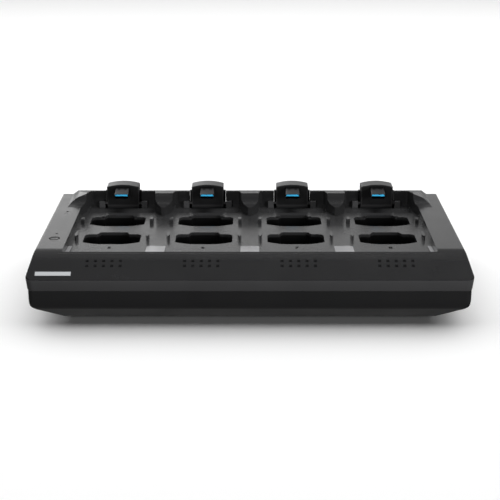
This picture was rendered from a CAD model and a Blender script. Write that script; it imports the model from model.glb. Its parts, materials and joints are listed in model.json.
import json
import logging
import math
from collections.abc import Callable, Iterable
from dataclasses import dataclass, field
from enum import Enum

import bmesh
import bpy
from mathutils import Matrix, Vector


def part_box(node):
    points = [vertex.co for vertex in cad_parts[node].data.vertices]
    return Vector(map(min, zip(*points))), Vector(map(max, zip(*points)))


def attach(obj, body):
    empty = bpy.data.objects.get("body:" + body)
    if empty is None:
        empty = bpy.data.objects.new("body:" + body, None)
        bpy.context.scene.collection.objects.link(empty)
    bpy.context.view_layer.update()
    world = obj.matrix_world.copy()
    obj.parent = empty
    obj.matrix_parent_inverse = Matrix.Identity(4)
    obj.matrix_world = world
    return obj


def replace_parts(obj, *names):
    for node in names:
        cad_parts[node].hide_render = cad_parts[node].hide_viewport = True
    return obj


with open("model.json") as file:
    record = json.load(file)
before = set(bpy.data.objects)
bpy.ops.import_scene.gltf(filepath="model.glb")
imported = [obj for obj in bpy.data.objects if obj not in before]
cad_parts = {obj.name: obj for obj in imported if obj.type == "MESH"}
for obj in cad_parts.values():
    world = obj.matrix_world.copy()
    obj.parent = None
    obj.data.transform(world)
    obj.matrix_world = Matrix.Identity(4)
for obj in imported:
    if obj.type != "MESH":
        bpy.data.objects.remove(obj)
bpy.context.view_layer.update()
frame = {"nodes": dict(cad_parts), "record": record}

log = logging.getLogger("docking_charger")

MM = 0.001
COLUMNS = (1, 2, 3, 4)
Test = Callable[[Vector, Vector], bool]


class Body(Enum):
    """The CAD bodies that pieces ride on."""

    HOUSING = "housing"
    TOWER = "tower_{}"
    LINK = "link_press"

    def of(self, number: int = 0) -> str:
        """Name of this body for a numbered column."""
        return self.value.format(number)


# ---------------------------------------------------------------- modelling by hand


def deselect() -> None:
    """Leave edit mode and select nothing."""
    if bpy.context.object and bpy.context.object.mode != "OBJECT":
        bpy.ops.object.mode_set(mode="OBJECT")
    bpy.ops.object.select_all(action="DESELECT")


def activate(piece: bpy.types.Object) -> None:
    """Select one piece alone and make it the active one."""
    deselect()
    piece.hide_viewport = False
    piece.select_set(True)
    bpy.context.view_layer.objects.active = piece


def settle(piece: bpy.types.Object, name: str) -> bpy.types.Object:
    """Name a piece and move its place, turn and scale into its mesh."""
    activate(piece)
    piece.name = name
    piece.data.name = name
    bpy.ops.object.transform_apply(location=True, rotation=True, scale=True)
    return piece


def add_block(name: str, low: Vector, high: Vector) -> bpy.types.Object:
    """Start a piece as a block.

    Args:
        name: the piece's name.
        low: its lowest corner, in metres.
        high: its highest corner.

    Returns:
        The new object, with its place in its mesh.
    """
    deselect()
    bpy.ops.mesh.primitive_cube_add(size=1.0, location=(low + high) / 2)
    piece = bpy.context.object
    piece.scale = high - low
    return settle(piece, name)


def add_disc(name: str, centre: Vector, radius: float, high: float,
             sides: int = 48) -> bpy.types.Object:
    """Start a piece as an upright cylinder about a centre.

    Args:
        name: the piece's name.
        centre: middle of the cylinder, in metres.
        radius: its radius.
        high: its height.
        sides: how many sides it has.

    Returns:
        The new object, with its place in its mesh.
    """
    deselect()
    bpy.ops.mesh.primitive_cylinder_add(vertices=sides, radius=radius, depth=high, location=centre)
    return settle(bpy.context.object, name)


def pick(piece: bpy.types.Object, mode: str, test: Test) -> None:
    """Enter edit mode and select the faces or edges that pass a test.

    Args:
        piece: the piece to edit.
        mode: "FACE" or "EDGE".
        test: takes a face's centre and normal, or an edge's middle and direction.
    """
    activate(piece)
    bpy.ops.object.mode_set(mode="EDIT")
    bpy.ops.mesh.select_all(action="DESELECT")
    bpy.ops.mesh.select_mode(type=mode)
    mesh = bmesh.from_edit_mesh(piece.data)
    if mode == "FACE":
        for face in mesh.faces:
            face.select_set(test(face.calc_center_median(), face.normal))
    else:
        for edge in mesh.edges:
            first, second = (vertex.co for vertex in edge.verts)
            edge.select_set(test((first + second) / 2, (second - first).normalized()))
    bmesh.update_edit_mesh(piece.data)


def done() -> None:
    """Leave edit mode."""
    bpy.ops.object.mode_set(mode="OBJECT")


def bevel(piece: bpy.types.Object, width: float, steps: int, test: Test) -> None:
    """Round the edges that pass a test."""
    pick(piece, "EDGE", test)
    bpy.ops.mesh.bevel(offset=width, segments=steps, affect="EDGES", clamp_overlap=True)
    done()


def soften(piece: bpy.types.Object, width: float, steps: int = 2, angle: float = 40.0) -> None:
    """Round every crisp edge with a Bevel modifier and shade the piece smooth."""
    activate(piece)
    rounder = piece.modifiers.new("soft_edges", "BEVEL")
    rounder.width = width
    rounder.segments = steps
    rounder.limit_method = "ANGLE"
    rounder.angle_limit = math.radians(angle)
    rounder.harden_normals = False
    bpy.ops.object.modifier_apply(modifier=rounder.name)
    bpy.ops.object.shade_smooth_by_angle(angle=math.radians(angle))


def carve(piece: bpy.types.Object, cutters: Iterable[bpy.types.Object]) -> None:
    """Cut pieces out of a piece, one Boolean modifier each, and remove the cutters."""
    for cutter in cutters:
        activate(piece)
        knife = piece.modifiers.new("window", "BOOLEAN")
        knife.operation = "DIFFERENCE"
        knife.solver = "EXACT"
        knife.object = cutter
        bpy.ops.object.modifier_apply(modifier=knife.name)
        bpy.data.objects.remove(cutter)


def merge(name: str, pieces: list[bpy.types.Object]) -> bpy.types.Object:
    """Join pieces into one mesh with one name."""
    deselect()
    for piece in pieces:
        piece.select_set(True)
    bpy.context.view_layer.objects.active = pieces[0]
    bpy.ops.object.join()
    return settle(bpy.context.object, name)


def lean(piece: bpy.types.Object, degrees: float, about: Vector) -> None:
    """Turn a finished mesh about an X axis through a point."""
    turn = Matrix.Rotation(math.radians(degrees), 4, "X")
    piece.data.transform(Matrix.Translation(about) @ turn @ Matrix.Translation(-about))


def copy_to(piece: bpy.types.Object, name: str, shift: Vector) -> bpy.types.Object:
    """Copy a piece, with its own mesh, to another place."""
    twin = piece.copy()
    twin.data = piece.data.copy()
    twin.data.transform(Matrix.Translation(shift))
    bpy.context.scene.collection.objects.link(twin)
    twin.name = name
    twin.data.name = name
    return twin


# ---------------------------------------------------------------- shader maths


@dataclass
class Value:
    """A shader socket that takes part in Python arithmetic by adding Math nodes."""

    kit: "Nodes"
    socket: bpy.types.NodeSocket | None

    def _math(self, operation: str, first: "Value | float", second: "Value | float") -> "Value":
        return self.kit.add("ShaderNodeMath", {"operation": operation}, {0: first, 1: second})

    def __add__(self, other: "Value | float") -> "Value":
        return self._math("ADD", self, other)

    __radd__ = __add__

    def __mul__(self, other: "Value | float") -> "Value":
        return self._math("MULTIPLY", self, other)

    __rmul__ = __mul__

    def __sub__(self, other: "Value | float") -> "Value":
        return self._math("SUBTRACT", self, other)

    def __rsub__(self, other: "Value | float") -> "Value":
        return self._math("SUBTRACT", other, self)


class Nodes:
    """Node tree of one material or world, filled through one method."""

    def __init__(self, tree: bpy.types.NodeTree) -> None:
        """Start with an empty tree."""
        self.tree = tree
        tree.nodes.clear()

    def add(self, kind: str, settings: dict, sockets: dict, output: int | str = 0) -> Value:
        """Add one node.

        Args:
            kind: the node's type.
            settings: the node's own properties, set first.
            sockets: values or links, by input name or number.
            output: which output the result stands for.

        Returns:
            The chosen output, ready for arithmetic.
        """
        node = self.tree.nodes.new(kind)
        for key, setting in settings.items():
            setattr(node, key, setting)
        for key, value in sockets.items():
            if isinstance(value, Value):
                self.tree.links.new(value.socket, node.inputs[key])
            else:
                node.inputs[key].default_value = value
        return Value(self, node.outputs[output] if node.outputs else None)

    def spot(self) -> Value:
        """Object coordinates."""
        return self.add("ShaderNodeTexCoord", {}, {}, "Object")

    def noise(self, size: float, detail: float = 2.0, rough: float = 0.5) -> Value:
        """Noise whose features are about this size, in metres."""
        return self.add("ShaderNodeTexNoise", {},
                        {"Vector": self.spot(), "Scale": 1.0 / size, "Detail": detail,
                         "Roughness": rough}, "Fac")

    def fit(self, value: Value, low: float, high: float) -> Value:
        """Map a value's 0.3 to 0.7 band onto low to high."""
        return self.add("ShaderNodeMapRange", {},
                        {"Value": value, "From Min": 0.3, "From Max": 0.7, "To Min": low,
                         "To Max": high})

    def ease(self, value: Value, start: tuple[float, float], end: tuple[float, float]) -> Value:
        """Smooth step of a value from one range to another."""
        return self.add("ShaderNodeMapRange", {"interpolation_type": "SMOOTHSTEP"},
                        {"Value": value, "From Min": start[0], "From Max": start[1],
                         "To Min": end[0], "To Max": end[1]})

    def tint(self, factor: Value, dark: tuple, light: tuple) -> Value:
        """Mix two colours by a factor."""
        return self.add("ShaderNodeMix", {"data_type": "RGBA"},
                        {0: factor, 6: (*dark, 1.0), 7: (*light, 1.0)}, 2)


@dataclass(frozen=True)
class Zone:
    """Box of an object, with a soft rim, that has a colour of its own."""

    low: tuple[float, float, float]
    high: tuple[float, float, float]
    colour: tuple[float, float, float]
    rim: float = 0.15 * MM

    def mask(self, kit: Nodes) -> Value:
        """One inside the box and zero outside it."""
        inside: Value | float = 1.0
        for axis, low, high in zip("XYZ", self.low, self.high):
            along = kit.add("ShaderNodeSeparateXYZ", {}, {"Vector": kit.spot()}, axis)
            inside = inside * kit.ease(along, (low - self.rim, low), (0.0, 1.0))
            inside = inside * kit.ease(along, (high, high + self.rim), (1.0, 0.0))
        return inside


@dataclass(frozen=True)
class Finish:
    """What every finish has: a name, its shader's constants and how it varies."""

    name: str
    colour: tuple[float, float, float]
    roughness: float = 0.4
    spread: float = 0.05
    metallic: float = 0.0
    ior: float = 1.5
    shade: float = 0.12
    grain: float = 0.35 * MM
    relief: float = 0.25
    edge: float = 0.35 * MM
    specular: float = 0.5
    zone: Zone | None = None

    def build(self) -> bpy.types.Material:
        """Make the material: soft edges, moulded grain, and slow changes of tone and gloss.

        Returns:
            The new material.
        """
        material = bpy.data.materials.new(self.name)
        material.use_nodes = True
        kit = Nodes(material.node_tree)
        slow = kit.noise(28 * MM, 3.0)
        darker = tuple(part * (1 - self.shade) for part in self.colour)
        lighter = tuple(min(1.0, part * (1 + self.shade)) for part in self.colour)
        base = kit.tint(slow, darker, lighter)
        if self.zone:
            base = kit.add("ShaderNodeMix", {"data_type": "RGBA"},
                           {0: self.zone.mask(kit), 6: base, 7: (*self.zone.colour, 1.0)}, 2)
        fine = kit.noise(self.grain, 2.0, 0.6)
        gloss = kit.fit(slow * 0.7 + fine * 0.3, self.roughness - self.spread,
                        self.roughness + self.spread)
        rounded = kit.add("ShaderNodeBevel", {"samples": 4}, {"Radius": self.edge})
        bump = kit.add("ShaderNodeBump", {},
                       {"Strength": self.relief, "Distance": self.grain * 0.2, "Height": fine,
                        "Normal": rounded})
        shader = kit.add("ShaderNodeBsdfPrincipled", {},
                         {"Base Color": base, "Roughness": gloss, "Normal": bump,
                          "Metallic": self.metallic, "IOR": self.ior,
                          "Specular IOR Level": self.specular})
        kit.add("ShaderNodeOutputMaterial", {}, {"Surface": shader})
        return material


def grey(level: float, blue: float = 1.03) -> tuple[float, float, float]:
    """A dark neutral, very slightly cool."""
    return (level, level, level * blue)


FINISHES = {
    "cover_plastic": Finish("cover_plastic", grey(0.015), 0.23, edge=0.25 * MM,
                            zone=Zone((-161.3 * MM, -44.2 * MM, 57.4 * MM),
                                      (-152.3 * MM, -35.2 * MM, 58.5 * MM), grey(0.001))),
    "band_plastic": Finish("band_plastic", grey(0.036), 0.34, relief=0.15),
    "tub_plastic": Finish("tub_plastic", grey(0.011), 0.38),
    "tray_plastic": Finish("tray_plastic", grey(0.018), 0.25,
                           zone=Zone((-150.0 * MM, -72.0 * MM, 51.4 * MM),
                                     (150.0 * MM, -34.5 * MM, 54.0 * MM), grey(0.13))),
    "well_plastic": Finish("well_plastic", grey(0.003), 0.5, specular=0.15),
    "tower_plastic": Finish("tower_plastic", grey(0.018), 0.36, relief=0.15),
    "face_plastic": Finish("face_plastic", grey(0.007), 0.46, edge=0.2 * MM, specular=0.35),
    "block_plastic": Finish("block_plastic", grey(0.038), 0.5),
    "plug_metal": Finish("plug_metal", (0.22, 0.22, 0.23), 0.34, 0.06, 1.0, shade=0.12,
                         grain=0.2 * MM, relief=0.06, edge=0.15 * MM),
    "plug_blue": Finish("plug_blue", (0.045, 0.40, 0.70), 0.3, shade=0.06, grain=0.2 * MM,
                        relief=0.08, edge=0.15 * MM),
    "gold_metal": Finish("gold_metal", (0.85, 0.62, 0.28), 0.22, 0.05, 1.0, shade=0.06,
                         grain=0.15 * MM, relief=0.04, edge=0.1 * MM),
    "steel": Finish("steel", (0.42, 0.42, 0.43), 0.34, 0.08, 1.0, shade=0.08,
                    grain=0.2 * MM, relief=0.08, edge=0.15 * MM),
    "badge_silver": Finish("badge_silver", (0.38, 0.39, 0.40), 0.42, 0.05, 0.15, shade=0.04,
                           grain=0.12 * MM, relief=0.08, edge=0.12 * MM),
    "smoked_lens": Finish("smoked_lens", grey(0.002), 0.5, 0.05, relief=0.03, edge=0.05 * MM,
                          specular=0.0),
    "button_plastic": Finish("button_plastic", grey(0.024), 0.34, relief=0.12),
    "board_green": Finish("board_green", (0.015, 0.10, 0.05), 0.3, relief=0.05),
    "part_dark": Finish("part_dark", grey(0.014), 0.4),
    "foot_rubber": Finish("foot_rubber", grey(0.010), 0.7, relief=0.4),
    "print_dark": Finish("print_dark", grey(0.003), 0.8, relief=0.02, edge=0.02 * MM,
                         specular=0.0),
    "print_pale": Finish("print_pale", grey(0.10), 0.6, relief=0.02, edge=0.02 * MM),
}


class Paint:
    """Keeps one material for each finish and puts them on pieces."""

    def __init__(self) -> None:
        """Start with no material made."""
        self.made: dict[str, bpy.types.Material] = {}

    def coat(self, piece: bpy.types.Object, finish: str) -> bpy.types.Object:
        """Give a piece one finish all over."""
        if finish not in self.made:
            self.made[finish] = FINISHES[finish].build()
        piece.data.materials.clear()
        piece.data.materials.append(self.made[finish])
        return piece

    def place(self, piece: bpy.types.Object, body: str, finish: str,
              slot: str | None = None) -> bpy.types.Object:
        """Finish a new piece and let it ride on its body.

        Args:
            piece: the finished mesh.
            body: the CAD body it moves with.
            finish: which finish it gets.
            slot: the record's slot, where it isn't named as the finish is.

        Returns:
            The same piece.
        """
        self.coat(piece, finish)
        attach(piece, body)
        log.info("%s rides on %s", piece.name, body)
        return piece


class CadNodes:
    """Dresses the CAD nodes that stay in sight, each by its slot in the record."""

    def dress(self, paint: Paint) -> None:
        """Give every node the finish named by its slot."""
        for entry in frame["record"]["subparts"]:
            node = frame["nodes"][entry["node"]]
            paint.coat(node, entry["material_slot"])
        log.info("dressed %d nodes", len(frame["nodes"]))


# ---------------------------------------------------------------- sub-assemblies


@dataclass
class TrimBand:
    """Ring between the cover and the tub, with a step behind each seam."""

    wall: float = 2.2 * MM
    lean: float = 0.9 * MM
    corner: float = 6.0 * MM
    seam: float = 0.45 * MM
    step: float = 1.1 * MM
    chamfer: float = 0.45 * MM

    def ring(self, name: str, low: Vector, high: Vector, inset: float, lean: float,
             wall: float) -> bpy.types.Object:
        """Closed ring with round corners, drawn in at its foot.

        Args:
            name: the ring's name.
            low: lowest corner of its box.
            high: highest corner of its box.
            inset: how far the ring stands inside the box.
            lean: how much further its foot is drawn in.
            wall: its thickness.

        Returns:
            The ring.
        """
        margin = Vector((inset, inset, 0))
        piece = add_block(name, low + margin, high - margin)
        bevel(piece, self.corner - inset, 8, lambda mid, way: abs(way.z) > 0.9)
        pick(piece, "FACE", lambda mid, way: way.z < -0.9)
        wide = high - low - 2 * margin
        bpy.ops.transform.resize(value=(1 - 2 * lean / wide.x, 1 - 2 * lean / wide.y, 1))
        done()
        pick(piece, "FACE", lambda mid, way: abs(way.z) > 0.9)
        bpy.ops.mesh.delete(type="FACE")
        done()
        shell = piece.modifiers.new("wall", "SOLIDIFY")
        shell.thickness = wall
        shell.offset = -1.0
        shell.use_even_offset = True
        activate(piece)
        bpy.ops.object.modifier_apply(modifier=shell.name)
        return piece

    def build(self, paint: Paint) -> None:
        """Make the ring and the tongue behind its seams."""
        low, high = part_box("trim_band")
        lift = Vector((0, 0, self.seam))
        outer = self.ring("trim_band_ring", low + lift, high - lift, 0.0, self.lean, self.wall)
        soften(outer, self.chamfer, 2, 50.0)
        tongue = self.ring("trim_band_tongue", low, high, self.lean + self.step, 0.0,
                           self.wall - self.step + self.lean)
        whole = merge("trim_band_moulding", [outer, tongue])
        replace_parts(paint.place(whole, Body.HOUSING.of(), "band_plastic"), "trim_band")


@dataclass
class Plug:
    """USB-A plug of one tower: folded metal shell, tongue and contact strips."""

    column: int
    lean: float = 10.0
    half: Vector = field(default_factory=lambda: Vector((6.0, 8.55, 2.25)) * MM)
    sheet: float = 0.3 * MM
    corner: float = 0.65 * MM
    strip: Vector = field(default_factory=lambda: Vector((0.5, 3.4, 0.06)) * MM)
    strip_x: tuple[float, ...] = (-3.5, -1.0, 1.0, 3.5)
    strip_round: float = 0.05 * MM
    strip_back: float = 5.4 * MM
    strip_drop: float = 0.16 * MM
    nose: float = 4.6 * MM
    nose_round: float = 0.35 * MM
    tail_round: float = 0.1 * MM
    tongue_play: Vector = field(default_factory=lambda: Vector((0.1, 0.0, 0.05)) * MM)
    tongue_front: float = 0.5 * MM
    tongue_rear: float = 0.4 * MM
    tongue_under: float = 0.1 * MM
    latch_x: float = 2.9 * MM
    latch_y: tuple[float, float] = (-0.4 * MM, 2.6 * MM)
    latch_half: float = 1.2 * MM
    latch_reach: float = 4.0 * MM
    crease: float = 35.0

    def centre(self) -> Vector:
        """Middle of the plug's metal shell."""
        low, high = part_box(f"plug_shell_{self.column}")
        return (low + high) / 2

    def shell(self) -> bpy.types.Object:
        """Folded shell, hollow from its mouth, with two latch windows above and below."""
        middle = self.centre()
        piece = add_block(f"plug_case_{self.column}", middle - self.half, middle + self.half)
        bevel(piece, self.corner, 4, lambda mid, way: abs(way.y) > 0.9)
        pick(piece, "FACE", lambda mid, way: way.y < -0.9)
        bpy.ops.mesh.inset(thickness=self.sheet, use_even_offset=True)
        bpy.ops.mesh.extrude_region_move(
            TRANSFORM_OT_translate={"value": (0, 2 * self.half.y - 2 * self.sheet, 0)})
        done()
        windows = []
        for side in (-1, 1):
            spot = middle + Vector((side * self.latch_x, 0, 0))
            low = spot + Vector((-self.latch_half, self.latch_y[0], -self.latch_reach))
            high = spot + Vector((self.latch_half, self.latch_y[1], self.latch_reach))
            windows.append(add_block("latch", low, high))
        carve(piece, windows)
        activate(piece)
        bpy.ops.object.shade_smooth_by_angle(angle=math.radians(self.crease))
        lean(piece, self.lean, middle)
        return piece

    def tongue(self, paint: Paint) -> bpy.types.Object:
        """Insulating tongue in the upper half: blue at its chamfered nose, dark further in."""
        middle = self.centre()
        inner = self.half - self.tongue_play - Vector((self.sheet, 0, self.sheet))
        low = middle + Vector((-inner.x, -self.half.y + self.tongue_front, -self.tongue_under))
        high = middle + Vector((inner.x, self.half.y - self.tongue_rear, inner.z))
        joint = low.y + self.nose
        nose = add_block("nose", low, Vector((high.x, joint, high.z)))
        bevel(nose, self.nose_round, 3, lambda mid, way: mid.y < low.y + MM and abs(way.y) < 0.1)
        tail = add_block("tail", Vector((low.x, joint, low.z)), high)
        bevel(tail, self.tail_round, 2, lambda mid, way: mid.y > high.y - MM and abs(way.y) < 0.1)
        paint.coat(nose, "plug_blue")
        paint.coat(tail, "part_dark")
        piece = merge(f"plug_insulator_{self.column}", [nose, tail])
        activate(piece)
        bpy.ops.object.shade_smooth_by_angle(angle=math.radians(self.crease))
        lean(piece, self.lean, middle)
        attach(piece, Body.TOWER.of(self.column))
        return piece

    def strips(self) -> bpy.types.Object:
        """Four contact strips under the tongue."""
        middle = self.centre()
        strips = []
        for x in self.strip_x:
            spot = middle + Vector((x * MM, self.strip_back - self.half.y, -self.strip_drop))
            strip = add_block("strip", spot - self.strip, spot + self.strip)
            bevel(strip, self.strip_round, 2, lambda mid, way: abs(way.y) > 0.9)
            strips.append(strip)
        piece = merge(f"plug_strips_{self.column}", strips)
        lean(piece, self.lean, middle)
        return piece

    def build(self, paint: Paint) -> None:
        """Make the plug's three pieces and put them on the tower."""
        body = Body.TOWER.of(self.column)
        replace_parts(paint.place(self.shell(), body, "plug_metal"), f"plug_shell_{self.column}")
        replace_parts(self.tongue(paint), f"plug_tongue_{self.column}")
        paint.place(self.strips(), body, "gold_metal")


@dataclass
class TiltSpring:
    """Wound return spring beside one tower's heel."""

    column: int
    turns: float = 2.6
    wire: float = 0.18 * MM
    radius: float = 2.1 * MM
    per_turn: int = 20

    def middle(self, column: int) -> float:
        """Where a column's centre is along X."""
        low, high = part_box(f"well_cups_{column}")
        return (low.x + high.x) / 2

    def build(self) -> bpy.types.Object:
        """Wind the wire along a helix.

        Returns:
            The spring as a mesh.
        """
        side_low, side_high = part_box("tilt_springs")
        near = side_low.x - self.middle(COLUMNS[0]) + self.middle(self.column) + self.wire
        far = side_high.x - self.middle(COLUMNS[-1]) + self.middle(self.column) - self.wire
        axis = Vector((0, (side_low.y + side_high.y) / 2, (side_low.z + side_high.z) / 2))
        steps = int(self.turns * self.per_turn)
        points = []
        for step in range(steps + 1):
            angle = math.tau * step / self.per_turn
            reach = near + (far - near) * step / steps
            points.append(Vector((reach, axis.y + self.radius * math.cos(angle),
                                  axis.z + self.radius * math.sin(angle))))
        curve = bpy.data.curves.new(f"tilt_spring_{self.column}", "CURVE")
        curve.dimensions = "3D"
        curve.bevel_depth = self.wire
        curve.bevel_resolution = 2
        curve.use_fill_caps = True
        line = curve.splines.new("POLY")
        line.points.add(len(points) - 1)
        for knot, point in zip(line.points, points):
            knot.co = (*point, 1.0)
        wound = bpy.data.objects.new(f"tilt_spring_{self.column}", curve)
        bpy.context.scene.collection.objects.link(wound)
        activate(wound)
        bpy.ops.object.convert(target="MESH")
        return bpy.context.object


@dataclass
class BayMarks:
    """Printed bay numbers on the tray and small marks on the left frame."""

    size: float = 6.4 * MM
    stroke: float = 0.16 * MM
    number_y: float = -41.2 * MM
    proud: float = 0.05 * MM
    tray_floor: float = 2.5 * MM
    link_gap: float = 3.0 * MM
    link_spread: float = 1.3 * MM
    link_bar: tuple[float, float] = (2.0 * MM, 0.35 * MM)
    level_gap: float = 5.4 * MM
    level_step: float = 1.3 * MM
    level_bars: tuple[float, float] = (4.6 * MM, 3.0 * MM)
    level_deep: float = 0.3 * MM

    def number(self, bay: int, x: float, floor: float) -> bpy.types.Object:
        """One bay number, laid flat on the tray."""
        deselect()
        bpy.ops.object.text_add(location=(0, 0, 0))
        text = bpy.context.object
        text.data.body = str(bay)
        text.data.size = self.size
        text.data.align_x = "CENTER"
        text.data.align_y = "CENTER"
        text.data.extrude = self.proud
        text.data.offset = self.stroke
        bpy.ops.object.convert(target="MESH")
        piece = bpy.context.object
        piece.location = (x, self.number_y, floor)
        return settle(piece, f"bay_number_{bay}")

    def build(self, paint: Paint) -> None:
        """Print the numbers and the marks."""
        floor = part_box("well_cups_1")[1].z + self.tray_floor
        for column in COLUMNS:
            low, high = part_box(f"well_cups_{column}")
            piece = self.number(column + len(COLUMNS), (low.x + high.x) / 2, floor)
            paint.place(piece, Body.HOUSING.of(), "print_dark", "part_dark")
        self.marks(paint)

    def marks(self, paint: Paint) -> None:
        """Pale printed marks: two linked bars by the button and a level mark by the far light."""
        button_low, button_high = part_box("link_button")
        far_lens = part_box("status_lenses")[1]
        x = (button_low.x + button_high.x) / 2
        bars = []
        for side in (-1, 1):
            middle = Vector((x + side * self.link_spread, button_low.y - self.link_gap, far_lens.z))
            bars.append(self.bar(middle, *self.link_bar))
        for row, wide in enumerate(self.level_bars):
            back = far_lens.y - self.level_gap - row * self.level_step
            bars.append(self.bar(Vector((x, back, far_lens.z)), wide, self.level_deep))
        paint.place(merge("frame_marks", bars), Body.HOUSING.of(), "print_pale", "badge_silver")

    def bar(self, middle: Vector, wide: float, deep: float) -> bpy.types.Object:
        """One printed bar with round ends."""
        half = Vector((wide / 2, deep / 2, self.proud))
        piece = add_block("bar", middle - half, middle + half)
        bevel(piece, deep * 0.45, 3, lambda mid, way: abs(way.z) > 0.9)
        return piece


@dataclass
class LinkButton:
    """Round button cap with a soft rim and a shallow dish, on a flange and a stem."""

    radius: float = 3.25 * MM
    cap_high: float = 4.4 * MM
    rim: float = 0.35 * MM
    dish: float = 0.18 * MM
    slope: float = 0.5 * MM
    bowl: float = 1.1 * MM
    flange_radius: float = 3.9 * MM
    flange_lift: float = 1.1 * MM
    flange_thick: float = 1.0 * MM
    stem_radius: float = 1.5 * MM
    stem_high: float = 0.8 * MM

    def build(self, paint: Paint) -> None:
        """Shape the cap and its stem."""
        low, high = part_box("link_button")
        middle = (low + high) / 2
        cap = add_disc("cap", Vector((middle.x, middle.y, high.z - self.cap_high / 2)),
                       self.radius, self.cap_high, 64)
        pick(cap, "FACE", lambda mid, way: way.z > 0.9)
        steps = ((self.rim, 0.0), (self.slope, -self.dish), (self.bowl, -self.dish / 2))
        for thickness, drop in steps:
            bpy.ops.mesh.inset(thickness=thickness)
            bpy.ops.transform.translate(value=(0, 0, drop))
        done()
        soften(cap, 0.2 * MM, 3, 50.0)
        flange = add_disc("flange", Vector((middle.x, middle.y, low.z + self.flange_lift)),
                          self.flange_radius, self.flange_thick, 48)
        stem = add_disc("stem", Vector((middle.x, middle.y, low.z + self.stem_high / 2)),
                        self.stem_radius, self.stem_high, 32)
        piece = merge("link_button_cap", [cap, flange, stem])
        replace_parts(paint.place(piece, Body.LINK.of(), "button_plastic"), "link_button")


@dataclass
class Foot:
    """Rubber foot with a round shoulder and a ribbed sole."""

    radius: float = 8.0 * MM
    grooves: int = 3
    land: float = 1.1 * MM
    groove_wide: float = 0.6 * MM
    groove_deep: float = 0.35 * MM
    shoulder: float = 0.25 * MM

    def build(self, paint: Paint) -> None:
        """Shape one foot and copy it to the other corners."""
        low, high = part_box("rubber_feet")
        thick = high.z - low.z
        first = Vector((low.x + self.radius, low.y + self.radius, thick / 2))
        foot = add_disc("foot", first, self.radius, thick, 48)
        pick(foot, "FACE", lambda mid, way: way.z < -0.9)
        for _ in range(self.grooves):
            for wide, rise in ((self.land, self.groove_deep),
                               (self.groove_wide, -self.groove_deep)):
                bpy.ops.mesh.inset(thickness=wide)
                bpy.ops.mesh.extrude_region_move(TRANSFORM_OT_translate={"value": (0, 0, rise)})
        done()
        soften(foot, self.shoulder, 2, 50.0)
        across = Vector((high.x - low.x - 2 * self.radius, 0, 0))
        along = Vector((0, high.y - low.y - 2 * self.radius, 0))
        feet = [foot]
        for number, shift in enumerate((across, along, across + along)):
            feet.append(copy_to(foot, f"foot_{number}", shift))
        whole = merge("moulded_feet", feet)
        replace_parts(paint.place(whole, Body.HOUSING.of(), "foot_rubber"), "rubber_feet")


@dataclass
class NetworkSocket:
    """Contact wires of the network socket."""

    wires: int = 8
    pitch: float = 1.02 * MM
    thick: float = 0.18 * MM
    half_length: float = 4.0 * MM
    behind_mouth: float = 6.0 * MM
    above_base: float = 8.6 * MM
    slope: float = -14.0

    def build(self, paint: Paint) -> None:
        """Lay the sloping wires inside the mouth."""
        low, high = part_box("network_jack")
        middle = (low.x + high.x) / 2
        wires = []
        for number in range(self.wires):
            x = middle + (number - (self.wires - 1) / 2) * self.pitch
            spot = Vector((x, high.y - self.behind_mouth, low.z + self.above_base))
            half = Vector((self.thick, self.half_length, self.thick))
            wire = add_block("wire", spot - half, spot + half)
            bevel(wire, self.thick * 0.5, 2, lambda mid, way: abs(way.y) > 0.9)
            lean(wire, self.slope, spot)
            wires.append(wire)
        paint.place(merge("network_contacts", wires), Body.HOUSING.of(), "gold_metal")


# ---------------------------------------------------------------- studio


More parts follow.
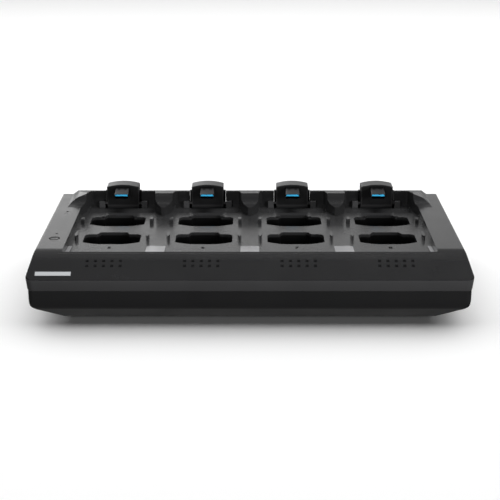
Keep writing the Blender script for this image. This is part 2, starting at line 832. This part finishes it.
@dataclass
class Studio:
    """Pale floor, a soft bright room behind the object, lamps and the camera."""

    camera_place: tuple[float, float, float] = (0.0001, -0.9685, 0.3685)
    pitch: float = 71.0
    lens: float = 87.84
    horizon: float = 2.0
    ceiling: float = 0.45
    front: float = 0.22
    dim_side: float = 0.5
    beneath: float = 0.08
    far_floor: float = 0.12

    def build(self) -> None:
        """Make the room."""
        ground = self.floor()
        self.world()
        overhead = self.lamp("floor_softbox", (0.0, 0.70, 1.0), (4.0, 2.9), 60.0)
        overhead.rotation_euler = (0.0, 0.0, 0.0)
        fill = self.lamp("floor_fill", (0.0, -2.2, 0.9), (3.0, 1.2), 11.0)
        floor_only = self.linked("floor_only", ground, "INCLUDE")
        overhead.light_linking.receiver_collection = floor_only
        fill.light_linking.receiver_collection = floor_only
        rest = self.linked("all_but_floor", ground, "EXCLUDE")
        soft = [self.lamp("front_left_lamp", (-0.5, -1.5, 0.42), (0.4, 0.4), 12.0),
                self.lamp("front_right_lamp", (1.2, -1.1, 0.40), (0.5, 0.4), 28.0),
                self.lamp("rear_lamp", (-0.5, 1.5, 0.6), (0.8, 0.5), 16.0),
                self.lamp("top_lamp", (0.25, 0.3, 1.3), (0.9, 0.9), 30.0)]
        for lamp in soft:
            lamp.visible_glossy = False
            lamp.light_linking.receiver_collection = rest
        self.camera()
        bpy.context.scene.view_settings.view_transform = "Standard"

    def linked(self, name: str, piece: bpy.types.Object, state: str) -> bpy.types.Collection:
        """Collection that makes a lamp light one piece alone, or all but that piece.

        Args:
            name: the collection's name.
            piece: the one piece.
            state: "INCLUDE" for that piece alone, "EXCLUDE" for all the others.

        Returns:
            The collection, for a lamp's receivers.
        """
        group = bpy.data.collections.new(name)
        group.objects.link(piece)
        group.collection_objects[0].light_linking.link_state = state
        return group

    def floor(self) -> bpy.types.Object:
        """Wide pale floor, which the object's own gloss doesn't mirror."""
        deselect()
        bpy.ops.mesh.primitive_plane_add(size=12.0, location=(0, 0, 0))
        ground = bpy.context.object
        ground.name = "studio_floor"
        ground.visible_glossy = False
        ground.visible_diffuse = False
        material = bpy.data.materials.new("studio_floor")
        material.use_nodes = True
        kit = Nodes(material.node_tree)
        shader = kit.add("ShaderNodeBsdfPrincipled", {},
                         {"Base Color": (0.92, 0.92, 0.92, 1.0), "Roughness": 0.9,
                          "Specular IOR Level": 0.0})
        kit.add("ShaderNodeOutputMaterial", {}, {"Surface": shader})
        ground.data.materials.append(material)
        return ground

    def world(self) -> None:
        """Bright near the horizon behind the object, dim above, in front and low in front."""
        world = bpy.data.worlds.new("studio_room")
        bpy.context.scene.world = world
        world.use_nodes = True
        world.cycles_visibility.diffuse = False
        kit = Nodes(world.node_tree)
        way = kit.add("ShaderNodeTexCoord", {}, {}, "Generated")
        up = kit.add("ShaderNodeSeparateXYZ", {}, {"Vector": way}, "Z")
        back = kit.add("ShaderNodeSeparateXYZ", {}, {"Vector": way}, "Y")
        band = kit.ease(up, (0.22, 0.46), (self.horizon, self.ceiling))
        zenith = kit.ease(up, (0.5, 0.95), (1.0, 0.7))
        behind = kit.ease(back, (-0.25, 0.5), (self.front, 1.0))
        nadir = kit.ease(up, (-0.95, -0.35), (self.beneath, 0.03))
        far_floor = kit.ease(back, (0.0, 0.6), (0.0, self.far_floor))
        above = kit.ease(up, (-0.04, 0.02), (0.0, 1.0))
        across = kit.add("ShaderNodeSeparateXYZ", {}, {"Vector": way}, "X")
        side = kit.ease(across, (-0.25, 0.25), (1.1, self.dim_side))
        strength = band * zenith * behind * side * above + (nadir + far_floor) * (1 - above)
        shade = kit.add("ShaderNodeBackground", {}, {"Strength": strength})
        kit.add("ShaderNodeOutputWorld", {}, {"Surface": shade})

    def lamp(self, name: str, place: tuple[float, float, float], size: tuple[float, float],
             power: float) -> bpy.types.Object:
        """Soft rectangular lamp that points at the object."""
        light = bpy.data.lights.new(name, "AREA")
        light.shape = "RECTANGLE"
        light.size, light.size_y = size
        light.energy = power
        lamp = bpy.data.objects.new(name, light)
        lamp.location = place
        lamp.rotation_euler = (-Vector(place)).to_track_quat("-Z", "Y").to_euler()
        bpy.context.scene.collection.objects.link(lamp)
        return lamp

    def camera(self) -> None:
        """Long-lens camera a little above the object."""
        eye = bpy.data.cameras.new("camera")
        eye.lens = self.lens
        eye.sensor_width = 36.0
        view = bpy.data.objects.new("camera", eye)
        view.location = self.camera_place
        view.rotation_euler = (math.radians(self.pitch), 0.0, 0.0)
        bpy.context.scene.collection.objects.link(view)
        bpy.context.scene.camera = view


def wind_springs(paint: Paint) -> None:
    """Make the four return springs and let them stand for their node."""
    coils = [TiltSpring(column).build() for column in COLUMNS]
    whole = merge("wound_tilt_springs", coils)
    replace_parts(paint.place(whole, Body.HOUSING.of(), "steel"), "tilt_springs")


def main() -> None:
    """Build the studio, dress the CAD nodes and add the modelled pieces."""
    logging.basicConfig(level=logging.INFO, format="%(message)s")
    Studio().build()
    paint = Paint()
    CadNodes().dress(paint)
    TrimBand().build(paint)
    for column in COLUMNS:
        Plug(column).build(paint)
    wind_springs(paint)
    BayMarks().build(paint)
    LinkButton().build(paint)
    Foot().build(paint)
    NetworkSocket().build(paint)
    deselect()


if __name__ == "__main__":
    main()
